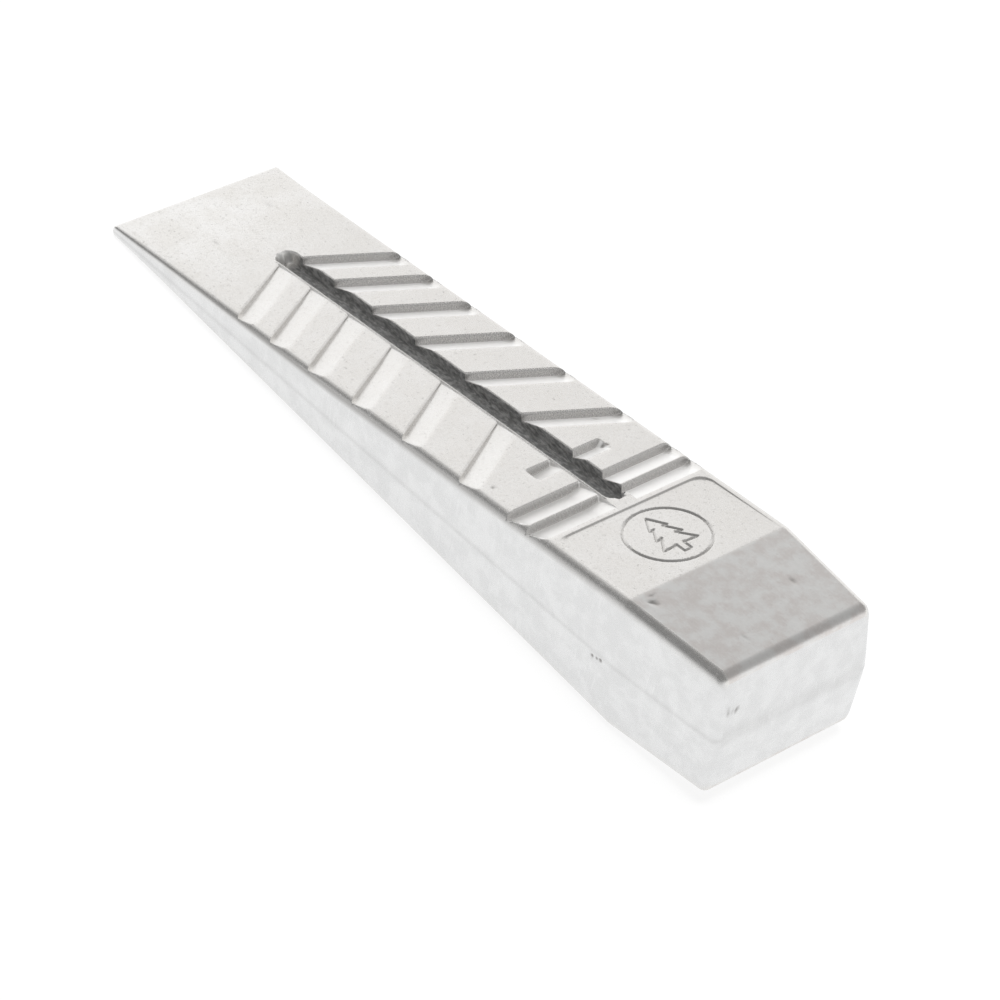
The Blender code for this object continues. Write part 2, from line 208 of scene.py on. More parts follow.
FACE_SLOPE = (KINK_HALF_THICKNESS - TIP_HALF_THICKNESS) / KINK_X
FACE_ANGLE = math.atan(FACE_SLOPE)
SHOULDER_X = LENGTH - HEAD_END_RADIUS
SHARP_ANGLE = math.radians(40)
PAINT_SHARES = ("crust_and_shade", "bevel", "ramp", "dirt_and_shade", "flank", "wall")   # the columns after x, y and z
DIRT_AND_SHADE, FLANK = (3 + PAINT_SHARES.index(name) for name in ("dirt_and_shade", "flank"))


# ---- blends --------------------------------------------------------------------------------------
def smooth_min(a, b, reach):
    share = np.clip(0.5 + 0.5 * (b - a) / reach, 0.0, 1.0)
    return b + (a - b) * share - reach * share * (1.0 - share)


def smooth_max(a, b, reach):
    return -smooth_min(-a, -b, reach)


def fade(value, none, full):
    """0 where value is at none or beyond it, 1 at full or beyond it; either may be the larger."""
    return np.clip((value - none) / (full - none), 0.0, 1.0)


# ---- outer shape of the forging ------------------------------------------------------------------
def face_height(x):
    return TIP_HALF_THICKNESS + FACE_SLOPE * x


def half_thickness(x):
    bevel_slope = (HEAD_HALF_THICKNESS - KINK_HALF_THICKNESS) / (LENGTH - KINK_X)
    body = smooth_min(face_height(x), KINK_HALF_THICKNESS + bevel_slope * (x - KINK_X), KINK_BLEND)
    before_nose = fade(x, TIP_HALF_THICKNESS, 0.0)
    return body * np.sqrt(1.0 - before_nose ** 2)


def half_width(x):
    along = fade(x, KINK_X, LENGTH)
    before_corner = np.clip(TIP_CORNER_RADIUS - x, 0.0, TIP_CORNER_RADIUS)
    corner = TIP_CORNER_RADIUS - np.sqrt(TIP_CORNER_RADIUS ** 2 - before_corner ** 2)
    return (WIDTH + (HEAD_WIDTH - WIDTH) * along) / 2 - corner


def edge_radius(x):
    radius = TIP_EDGE_RADIUS + (HEAD_EDGE_RADIUS - TIP_EDGE_RADIUS) * x / LENGTH
    return np.minimum(radius, THIN_EDGE_SHARES[0] * half_thickness(x))


def edge_height(x):
    return np.minimum(EDGE_STRETCH * edge_radius(x), THIN_EDGE_SHARES[1] * half_thickness(x))


def edge_shade(x, z, inset):
    """Painted shade, grey, on the lower part of the upper long edges, fading out down the side."""
    top = half_thickness(x) - inset
    down = (top - z) / np.minimum(1.0, top / EDGE_SHADE_THIN)
    share = fade(down, *EDGE_SHADE_TOP) * fade(down, *EDGE_SHADE_END) * np.interp(x, EDGE_SHADE_X, EDGE_SHADE_STRENGTH)
    return EDGE_SHADE * share * (1.0 - inset / HEAD_END_RADIUS)


def head_setback(z):
    """How far the drafted head face lies behind its middle land."""
    return smooth_max(np.abs(z) - HEAD_LAND, np.zeros_like(z), HEAD_LAND_BLEND) * math.tan(HEAD_DRAFT)


# ---- what is sunk into the faces, as depths below the plain face, and how it is worn --------------
def barb_positions():
    steps = np.arange(BARB_COUNT)
    return FIRST_BARB_X + FIRST_BARB_PITCH * steps + BARB_PITCH_GROWTH * steps * (steps - 1) / 2


def notch(behind, ramp):
    """Steep wall facing the head, rounded at its top, and the ramp that climbs back to the face."""
    past_top = np.maximum(behind + WALL_TOP_RADIUS, 0.0)
    rounded = WALL_TOP_RADIUS - np.sqrt(np.maximum(WALL_TOP_RADIUS ** 2 - past_top ** 2, 0.0))
    steep = WALL_TOP_RADIUS + behind * NOTCH_DEPTH / WALL_RUN
    wall = np.where(behind < 0.0, np.minimum(rounded, WALL_TOP_RADIUS), steep)
    climb = (ramp - behind) / (ramp - WALL_RUN) * NOTCH_DEPTH
    back = smooth_max(climb, np.zeros_like(behind), CREST_BLEND)
    return smooth_min(wall, back, FOOT_BLEND)


def depth_shares(y):
    """Depth of the barb notches and of the cross grooves at y, as shares of the full depth."""
    barbs = np.interp(-y, NEAR_BARB_Y, NEAR_BARB_DEPTHS) / NOTCH_DEPTH
    grooves = np.interp(-y, NEAR_GROOVE_Y, NEAR_GROOVE_SHARES)
    return np.where(y < 0.0, barbs, 1.0), np.where(y < 0.0, grooves, 1.0)


def notch_depth(x, y):
    """Depth of the barb notches and cross grooves of one face."""
    across = np.abs(y)
    lift = NOTCH_LIFT_CURVE * np.maximum(across - NOTCH_LIFT_Y, 0.0) ** 2
    soft = LEAST_LIFT_BLEND + LIFT_BLEND_GROWTH * np.minimum(lift, 1.0)

    def lifted(depth):
        return np.maximum(smooth_max(depth - lift, np.zeros_like(lift), soft), 0.0)

    barbs = np.zeros_like(x)
    for wall_x in barb_positions():
        barbs = np.maximum(barbs, notch(x - BARB_SWEEP * across - wall_x, BARB_RAMP))
    grooves = np.zeros_like(x)
    for wall_x in WIDE_GROOVES_X:
        grooves = np.maximum(grooves, notch(x - wall_x, CROSS_RAMP))
    near_end, far_end = SHORT_GROOVE_Y
    room = np.maximum(np.minimum(y - near_end, far_end - y) * SHORT_END_SLOPE, 0.0)
    short_groove = smooth_min(notch(x - SHORT_GROOVE_X, SHORT_RAMP), room, SHORT_END_BLEND)
    grooves = np.maximum(grooves, short_groove)
    barb_share, groove_share = depth_shares(y)
    depth = np.maximum(lifted(barbs) * barb_share, lifted(grooves) * groove_share)
    near_limit = (across - NEAR_INNER_Y) * NEAR_INNER_SLOPE
    far_limit = (across - NOTCH_INNER_Y) * NOTCH_INNER_SLOPE
    limit = np.maximum(np.where(y < 0.0, near_limit, far_limit), 0.0)
    return np.maximum(smooth_min(depth, limit, NOTCH_INNER_BLEND), 0.0)


def notch_places(x, y):
    """For every notch: how far each point lies behind its wall, its ramp and its painted highlight on
    the -Y side.
    """
    swept_x = x - BARB_SWEEP * np.abs(y)
    places = [(swept_x - wall_x, BARB_RAMP, NEAR_BARB_HIGHLIGHT) for wall_x in barb_positions()]
    places.append((x - SHORT_GROOVE_X, SHORT_RAMP, NEAR_CROSS_HIGHLIGHT))
    return places + [(x - wall_x, CROSS_RAMP, NEAR_CROSS_HIGHLIGHT) for wall_x in WIDE_GROOVES_X]


def ramp_share(x, y):
    """Painted highlight on the climbing floors of the notches and on the strip beside the slot."""
    share = np.zeros_like(x)
    for behind, ramp, near_highlight in notch_places(x, y):
        on_ramp = fade(behind, *HIGHLIGHT_START) * fade(behind, ramp, ramp - HIGHLIGHT_END)
        share = np.maximum(share, on_ramp * np.where(y < 0.0, near_highlight, 1.0))
    strip = STRIP_HIGHLIGHT * fade(y, *STRIP_Y) * (y < 0.0)
    share = np.maximum(share, strip) * np.where(y > 0.0, fade(y, *HIGHLIGHT_OUTER_Y), 1.0)
    return share * fade(notch_depth(x, y), 0.0, SHOWN_DEPTH)


def wall_share(x, y):
    """1 on the steep walls of the notches, which get painted shade, except on the -Y barbs."""
    share = np.zeros_like(x)
    for behind, ramp, _ in notch_places(x, y):
        on_wall = fade(behind, *WALL_SHADE_TOP) * fade(behind, *WALL_SHADE_FOOT)
        share = np.maximum(share, on_wall * np.where(y < 0.0, ramp != BARB_RAMP, 1.0))
    return share * fade(notch_depth(x, y), 0.0, SHOWN_DEPTH)


def slot_depth(x, y):
    """Depth of the slot: chamfered mouth, steep walls, round end, hollow run-out at the tip end."""
    first, last = SLOT_START + SLOT_HALF_WIDTH, SLOT_END - SLOT_HALF_WIDTH
    ahead = np.maximum(first - x, 0.0)
    past = np.maximum(x - last, 0.0)
    reach = np.hypot(ahead + past, y - SLOT_CENTRE_Y)
    inside = SLOT_HALF_WIDTH - reach
    run_out = (ahead / np.maximum(reach, 1e-6)) ** 2
    steep = np.maximum(inside, inside * SLOT_WALL_SLOPE) + SLOT_CHAMFER
    hollow = SLOT_RUN_OUT * np.maximum(inside + SLOT_RUN_OUT_LEAD, 0.0) ** 2
    wall = steep + (hollow - steep) * run_out
    mouth = smooth_max(wall, np.zeros_like(wall), SLOT_MOUTH_BLEND)
    return smooth_min(mouth, SLOT_DEPTH, SLOT_FLOOR_BLEND)


def rim_height(x, y):
    """Fine bead pressed up along the wide side of the slot."""
    bead = RIM_HEIGHT * np.exp(-((y - RIM_Y) / RIM_WIDTH) ** 2)
    return bead * fade(x - SLOT_START, *RIM_START) * fade(SLOT_END - x, *RIM_END)


def dents(along, across, spots):
    """Small knocks in a surface: each spot is (place along, place across, radius, depth)."""
    depth = np.zeros_like(along)
    for spot_along, spot_across, radius, deepest in spots:
        far = ((along - spot_along) ** 2 + (across - spot_across) ** 2) / radius ** 2
        depth = depth + deepest * np.exp(-far)
    return depth


def panel_depth(x, y):
    """Depth of the sunk panel: round corners at its tip side, running out to nothing at the kink."""
    across = np.abs(y) - (PANEL_HALF_WIDTH - PANEL_CORNER_RADIUS)
    ahead = (PANEL_START + PANEL_CORNER_RADIUS) - x
    corner = np.hypot(np.maximum(across, 0.0), np.maximum(ahead, 0.0))
    outside = corner + np.minimum(np.maximum(across, ahead), 0.0) - PANEL_CORNER_RADIUS
    floor_depth = PANEL_DEPTH * fade(x, KINK_X, PANEL_START)
    wall = smooth_max(-outside * PANEL_WALL_SLOPE, np.zeros_like(x), PANEL_BLEND)
    return smooth_min(wall, floor_depth, PANEL_BLEND)


def stroke_distance(x, y, start, end):
    """Distance from each point to one straight stroke of the mark."""
    ax, ay = start
    dx, dy = end[0] - ax, end[1] - ay
    share = np.clip(((x - ax) * dx + (y - ay) * dy) / (dx * dx + dy * dy), 0.0, 1.0)
    return np.hypot(x - ax - share * dx, y - ay - share * dy)


def mark_depth(x, y):
    """A plain circle round a fir tree, with the tree's top towards the tip."""
    across = np.abs(y)
    distance = np.abs(np.hypot(x - MARK_X, y) - MARK_RADIUS)
    outline = [(MARK_X - TREE_TOP + down, out) for down, out in TREE_OUTLINE]
    for start, end in zip(outline, outline[1:]):
        distance = np.minimum(distance, stroke_distance(x, across, start, end))
    return MARK_DEPTH * np.maximum(1.0 - (distance / MARK_STROKE) ** 2, 0.0)


# ---- the grid: lines run across the wedge and bend with the barbs; columns run along it -----------
def graded(start, stop, first, last, largest):
    """Points from start to stop whose steps grow from both ends up to the largest step."""
    head, tail = [start], [stop]
    head_step, tail_step = first, last
    while tail[-1] - head[-1] > head_step + tail_step:
        if head_step <= tail_step:
            head.append(head[-1] + head_step)
            head_step = min(head_step * STEP_GROWTH, largest)
        else:
            tail.append(tail[-1] - tail_step)
            tail_step = min(tail_step * STEP_GROWTH, largest)
    narrow = tail[-1] - head[-1] < NARROW_GAP * (head_step + tail_step)
    if narrow and len(tail) > 1 and len(head) > 1:
        head[-1] = (head[-1] + tail[-1]) / 2
    return head + tail[::-1]


def even(start, stop, step):
    return list(np.arange(start, stop, step))


def line_positions():
    """Where every line crosses the centre of the wedge: close together where the surface turns."""
    nose = TIP_HALF_THICKNESS * (1.0 - np.cos(np.linspace(0.12, math.pi / 2, NOSE_STEPS + 1)))
    lines = list(nose) + graded(nose[-1] + 0.1, 33.8, 0.2, 0.2, 1.6)
    lines += even(34.0, FIRST_BARB_X - WALL_TOP_RADIUS - 0.1, PLAIN_STEP)
    notches = [(x, BARB_RAMP) for x in barb_positions()]
    notches += [(SHORT_GROOVE_X, SHORT_RAMP)] + [(x, CROSS_RAMP) for x in WIDE_GROOVES_X]
    ends = [x for x, _ in notches[1:]] + [PANEL_START]
    for (wall_x, ramp), following in zip(notches, ends):
        lines += even(wall_x - WALL_TOP_RADIUS - 0.1, wall_x + 0.72, WALL_STEP)
        crest = wall_x + ramp
        lines += graded(wall_x + 0.8, crest - 0.55, 0.1, 0.2, 0.7)
        if following - crest > 1.2:
            lines += graded(crest - 0.4, following - WALL_TOP_RADIUS - 0.2, CREST_STEP, 0.1, 1.2)
        else:
            lines += even(crest - 0.4, following - WALL_TOP_RADIUS, CREST_STEP)
    mark_start, mark_end = MARK_X - MARK_RADIUS, MARK_X + MARK_RADIUS
    lines += even(PANEL_START - 0.25, PANEL_START + 0.6, PANEL_STEP)
    lines += graded(PANEL_START + 0.7, mark_start - 0.4, 0.1, 0.2, 0.3)
    lines += even(mark_start - 0.4, mark_end + 0.5, PLAIN_STEP)
    lines += graded(mark_end + 0.6, KINK_X - 0.8, 0.2, 0.2, 0.8)
    lines += even(KINK_X - 0.7, KINK_X + 0.8, PLAIN_STEP)
    lines += graded(KINK_X + 1.0, SHOULDER_X, 0.3, 0.3, 1.4)
    lines = np.unique(np.round(lines, 4))
    return lines[np.concatenate([[True], np.diff(lines) > LEAST_STEP])]


def line_x(centre_x, y):
    """X of a line at a distance y from the centre: swept back where the barbs are, else straight."""
    across = np.abs(y)
    last_crest = barb_positions()[-1] + BARB_RAMP + 0.8
    before_short, past_short = SHORT_GROOVE_X - 0.4, SHORT_GROOVE_X + CROSS_RAMP + 0.3
    sweep_x = [2.5, FIRST_BARB_X - 0.4, last_crest, before_short]
    sweep = np.interp(centre_x, sweep_x, [0.0, BARB_SWEEP, BARB_SWEEP, 0.0])
    outer_x = [last_crest, before_short, past_short, WIDE_GROOVES_X[0] - 0.4]
    outer = np.interp(centre_x, outer_x, [0.0, 0.4, 0.12, 0.0])
    return centre_x + sweep * across + outer * np.maximum(across - SHORT_GROOVE_Y[1] - 1.2, 0.0)


def core_columns():
    """Distances from the centre of the columns on the flat of a face, outermost first."""
    columns = even(0.0, 1.7, PLAIN_STEP) + even(1.75, 4.3, SLOT_STEP)
    columns += even(4.4, MARK_RADIUS + 1.8, PLAIN_STEP)
    columns += graded(MARK_RADIUS + 2.0, PANEL_HALF_WIDTH - 0.4, 0.25, 0.15, 0.8)
    columns += even(PANEL_HALF_WIDTH - 0.3, PANEL_HALF_WIDTH + 0.25, 0.1)
    return np.unique(np.round(columns, 4))[::-1]


SIDE_STEPS = RIDGE_ROWS.size + FLANK_STEPS
CORE = core_columns()


class Quarter:
    """Grid of one quarter of the wedge, from its parting line over the side and edge to the centre.

    Each part holds x, y and z, then the shares for the metal's paint, in the order of PAINT_SHARES."""

    def __init__(self, lines, inset, side, marked):
        self.lines, self.inset = lines[:, None], inset[:, None]
        self.side, self.marked = side, marked
        self.pull = fade(self.lines, KINK_X + SETBACK_START, SHOULDER_X)

    def at(self, y, z):
        return line_x(self.lines, y) - self.pull * head_setback(z)

    def edge_centre(self, x):
        radius = np.maximum(edge_radius(x) - self.inset, LEAST_EDGE_RADIUS)
        height = np.maximum(edge_height(x) - self.inset, LEAST_EDGE_RADIUS)
        z = half_thickness(x) - self.inset - height
        y = half_width(x) - self.inset - z * math.tan(SIDE_DRAFT) - radius / math.cos(SIDE_DRAFT)
        return y, z, radius, height

    def edge(self):
        """The rounded long edge, with the outer ends of the notches."""
        turn = np.linspace(0.0, 1.0, FILLET_STEPS + 1)[None, :]
        angle = SIDE_DRAFT + (math.pi / 2 - SIDE_DRAFT) * turn
        face = half_thickness(self.lines) - self.inset
        x = self.at(np.full_like(angle * self.lines, WIDTH / 2), face + 0.0 * angle)
        for _ in range(EDGE_PASSES):
            centre_y, centre_z, radius, height = self.edge_centre(x)
            y = centre_y + radius * np.cos(angle)
            z = centre_z + height * np.sin(angle)
            x = self.at(y, z)
        # painted shade below the upper long edges
        dirt_and_shade = edge_shade(x, z, self.inset) * self.marked
        z = np.minimum(z, half_thickness(x) - self.inset - notch_depth(x, self.side * y))
        none = np.zeros_like(x)
        # painted highlight on the ramps of the notch ends
        ramp = ramp_share(x, self.side * y) * np.sin(angle) ** EDGE_HIGHLIGHT_POWER
        # painted shade on the walls of the notch ends
        wall = wall_share(x, self.side * y) * np.sin(angle) ** EDGE_WALL_SHADE_POWER
        return np.stack([x, y, z, none, none, ramp, dirt_and_shade, none + np.cos(angle) ** 2, wall], axis=-1)

    def flank(self, top):
        """The drafted side below the edge, with the ridge of the parting line."""
        fine = RIDGE_ROWS[None, :] * np.minimum(1.0, top / RIDGE_THIN)
        shares = np.linspace(0.0, 1.0, FLANK_STEPS + 1)[None, 1:]
        rest = fine[:, -1:] + (top - fine[:, -1:]) * shares
        z = np.hstack([fine, rest])[:, :-1]
        z = np.hstack([z, (z[:, -1:] + top) / 2])
        x = self.at(np.full_like(z, WIDTH / 2), z)
        none = np.zeros_like(x)
        ridge = PARTING_RIDGE * np.exp(-(z / PARTING_RIDGE_WIDTH) ** 2) * fade(top, 0.0, RIDGE_THIN)
        knocks = none if self.marked or self.side > 0.0 else dents(x, -z, SIDE_KNOCKS)
        y = half_width(x) - self.inset - z * math.tan(SIDE_DRAFT) + ridge - knocks
        # painted shade: a grey line along the parting ridge
        seam = SEAM_SHADE * np.exp(-(z / SEAM_WIDTH) ** 2)
        dirt_and_shade = np.maximum(edge_shade(x, z, self.inset) * self.marked, seam)
        dirt_and_shade = np.maximum(dirt_and_shade, fade(knocks, 0.0, WORN_SIDE_DEPTH))
        return np.stack([x, y, z, none, none, none, dirt_and_shade, none + 1.0, none], axis=-1)

    def core(self):
        """The flat of the face, with all that is sunk into it."""
        face = half_thickness(self.lines) - self.inset
        y = np.broadcast_to(CORE[None, :], (self.lines.shape[0], CORE.size))
        x = self.at(y, face + 0.0 * y)
        y = y * np.minimum(1.0, (self.edge_centre(x)[0] - FLAT_MARGIN) / CORE[0])
        x = self.at(y, face + 0.0 * y)
        slot = slot_depth(x, self.side * y)
        sunk = np.maximum(notch_depth(x, self.side * y), panel_depth(x, y))
        sunk = np.maximum(sunk, slot)
        raised = rim_height(x, self.side * y)
        none = np.zeros_like(x)
        dirt_and_shade = none
        if self.marked:
            worn = dents(x, self.side * y, BEVEL_KNOCKS + FACE_KNOCKS)
            mark = mark_depth(x, y)
            raised = raised - mark - worn
            dirt_and_shade = np.maximum(fade(worn, 0.0, WORN_FACE_DEPTH), MARK_GRIME * mark / MARK_DEPTH)
        z = half_thickness(x) - self.inset - sunk + raised
        # dark crust with painted shade in the slot, darker with depth
        crust_and_shade = fade(slot, *SLOT_SHADE_DEPTH) * fade(x - SLOT_START, *SLOT_SHADE_X)
        bevel = fade(x, KINK_X - BEVEL_BLUR, KINK_X + BEVEL_BLUR)
        # painted highlight on the tip end of the slot
        run_out = RUN_OUT_HIGHLIGHT * fade(x - SLOT_START, *RUN_OUT_X)
        ramp = np.where(slot < OPEN_DEPTH, ramp_share(x, self.side * y), run_out)
        # painted shade on the notch walls
        wall = wall_share(x, self.side * y) * (slot < OPEN_DEPTH)
        return np.stack([x, y, z, crust_and_shade, bevel, ramp, dirt_and_shade, none, wall], axis=-1)

    def grid(self, advance):
        edge = self.edge()
        grid = np.concatenate([self.flank(edge[:, :1, 2]), edge, self.core()], axis=1)
        grid[..., 0] += advance[:, None]
        grid[..., 1] *= self.side
        return grid


def wedge_grid():
    """Closed rings of points along the wedge, with the shares that the metal's paint needs."""
    lines = line_positions()
    turn = np.linspace(0.0, math.pi / 2, HEAD_END_STEPS + 1)[1:]
    inset = np.concatenate([np.zeros(lines.size), HEAD_END_RADIUS * (1.0 - np.cos(turn))])
    advance = np.concatenate([np.zeros(lines.size), HEAD_END_RADIUS * np.sin(turn)])
    lines = np.concatenate([lines, np.full(turn.size, SHOULDER_X)])
    right = Quarter(lines, inset, 1.0, marked=True).grid(advance)
    left = Quarter(lines, inset, -1.0, marked=True).grid(advance)
    right_under = Quarter(lines, inset, 1.0, marked=False).grid(advance)
    left_under = Quarter(lines, inset, -1.0, marked=False).grid(advance)
    right_under[..., 2] *= -1.0
    left_under[..., 2] *= -1.0
    quarters = (right, left[:, -2::-1], left_under[:, 1:], right_under[:, -2:0:-1])
    return np.concatenate(quarters, axis=1)


def cap(ring, per_quarter, face_x):
    """Grid that closes one end: its points' numbers in the ring, -1 inside, and the inner points."""
    corner = SIDE_STEPS + FILLET_STEPS // 2
    half = 2 * (per_quarter - 1)
    count = ring.shape[0]
    upper = np.arange(corner, half - corner + 1)
    lower = (count - upper) % count
    right = (corner - np.arange(2 * corner + 1)) % count
    left = half - corner + np.arange(2 * corner + 1)
    top, bottom = ring[upper], ring[lower]
    across = (top[:, 1] - top[0, 1]) / (top[-1, 1] - top[0, 1])
    down = (ring[right][:, 2] - top[0, 2]) / (bottom[0, 2] - top[0, 2])
    s, t = across[:, None, None], down[None, :, None]
    grid = (1 - t) * top[:, None] + t * bottom[:, None]
    grid = grid + (1 - s) * ring[right][None] + s * ring[left][None]
    grid = grid - (1 - s) * (1 - t) * top[0] - s * (1 - t) * top[-1]
    grid = grid - (1 - s) * t * bottom[0] - s * t * bottom[-1]
    index = np.full(grid.shape[:2], -1)
    index[:, 0], index[:, -1] = upper, lower
    index[0, :], index[-1, :] = right, left
    inner = grid[1:-1, 1:-1].reshape(-1, ring.shape[1])
    if face_x is not None:
        knocks = dents(inner[:, 1], inner[:, 2], HEAD_KNOCKS)
        inner[:, 0] = face_x - head_setback(inner[:, 2]) - knocks
        inner[:, 3:] = 0.0
        land = HEAD_STAIN * fade(np.abs(inner[:, 2]) / HEAD_LAND, *HEAD_STAIN_FADE)
        inner[:, DIRT_AND_SHADE] = np.maximum(fade(knocks, 0.0, WORN_SIDE_DEPTH), land)
        inner[:, FLANK] = 1.0
    return index, inner


def quads(index):
    corners = (index[:-1, :-1], index[1:, :-1], index[1:, 1:], index[:-1, 1:])
    return np.stack(corners, axis=-1).reshape(-1, 4)


def wedge_points_and_faces():
    grid = wedge_grid()
    rings, count = grid.shape[:2]
    per_quarter = count // 4 + 1
    points = [grid.reshape(-1, grid.shape[2])]
    index = np.arange(rings * count).reshape(rings, count)
    index = np.hstack([index, index[:, :1]])
    faces = [quads(index)[:, ::-1]]
    total = rings * count
    for ring_number, face_x, flip in ((0, None, True), (rings - 1, LENGTH, False)):
        cap_index, inner = cap(grid[ring_number], per_quarter, face_x)
        cap_index[cap_index >= 0] += ring_number * count
        new = total + np.arange(inner.shape[0])
        cap_index[1:-1, 1:-1] = new.reshape(cap_index.shape[0] - 2, cap_index.shape[1] - 2)
        total += inner.shape[0]
        points.append(inner)
        cap_faces = quads(cap_index)
        faces.append(cap_faces[:, ::-1] if flip else cap_faces)
    return np.concatenate(points), np.concatenate(faces)


def build_wedge():
    points, faces = wedge_points_and_faces()
    mesh = bpy.data.meshes.new("wedge")
    mesh.vertices.add(len(points))
    mesh.loops.add(faces.size)
    mesh.polygons.add(len(faces))
    turned = points[:, :3].copy()
    cosine, sine = math.cos(FACE_ANGLE), math.sin(FACE_ANGLE)
    turned[:, 0] = points[:, 0] * cosine - points[:, 2] * sine
    turned[:, 2] = points[:, 0] * sine + points[:, 2] * cosine
    turned *= MM
    low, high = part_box("wedge_body")
    turned[:, 0] += (low[0] + high[0] - turned[:, 0].min() - turned[:, 0].max()) / 2
    turned[:, 2] += low[2] - turned[:, 2].min()
    mesh.vertices.foreach_set("co", turned.ravel())
    mesh.loops.foreach_set("vertex_index", faces.ravel().astype(np.int32))
    mesh.polygons.foreach_set("loop_start", np.arange(0, faces.size, 4, dtype=np.int32))
    mesh.update(calc_edges=True)
    mesh.validate()
    for column, name in enumerate(PAINT_SHARES, 3):
        layer = mesh.attributes.new(name, 'FLOAT', 'POINT')
        layer.data.foreach_set("value", points[:, column].astype(np.float32))
    mesh.shade_smooth()
    mesh.set_sharp_from_angle(angle=SHARP_ANGLE)
    wedge = bpy.data.objects.new("wedge", mesh)
    bpy.context.collection.objects.link(wedge)
    return wedge


# ---- metal ---------------------------------------------------------------------------------------
class Nodes:
    """Short hand for building a node tree: every call adds a node and returns one of its outputs."""

    def __init__(self, tree):
        self.tree = tree

    def add(self, kind, values=(), output=0, **settings):
        node = self.tree.nodes.new(kind)
        for name, value in settings.items():
            setattr(node, name, value)
        for key, value in dict(values).items():
            if isinstance(value, bpy.types.NodeSocket):
                self.tree.links.new(value, node.inputs[key])
            else:
                node.inputs[key].default_value = value
        return node.outputs[output]

    def math(self, operation, a, b):
        return self.add("ShaderNodeMath", {0: a, 1: b}, operation=operation)

    def remap(self, value, low, high, new_low=0.0, new_high=1.0):
        inputs = {0: value, 1: low, 2: high, 3: new_low, 4: new_high}
        return self.add("ShaderNodeMapRange", inputs, interpolation_type='SMOOTHSTEP')

    def stretch(self, vector, scale, turn=(0.0, 0.0, 0.0)):
        return self.add("ShaderNodeMapping", {"Vector": vector, "Scale": scale, "Rotation": turn})

    def noise(self, vector, scale, detail=3.0, roughness=0.55):
        inputs = {"Vector": vector, "Scale": scale, "Detail": detail, "Roughness": roughness}
        return self.add("ShaderNodeTexNoise", inputs)

    def mix(self, share, a, b):
        a, b = ((*colour, 1.0) if isinstance(colour, tuple) else colour for colour in (a, b))
        return self.add("ShaderNodeMix", {0: share, 6: a, 7: b}, output=2, data_type='RGBA')

    def tint(self, colour, mask, share, tone):
        """Mix a tone into a colour where the mask is, at most by the share."""
        return self.mix(self.math('MULTIPLY', mask, share), colour, tone)

    def attribute(self, name):
        return self.add("ShaderNodeAttribute", output=2, attribute_name=name)


def scratches(kit, place, turn, across, along, keep):
    """Thin straight scratches in one direction, as a 0 to 1 mask."""
    lines = kit.noise(kit.stretch(place, (along, across, across), turn), 1.0, 1.0)
    return kit.remap(lines, keep, keep + SCRATCH_SOFTNESS)


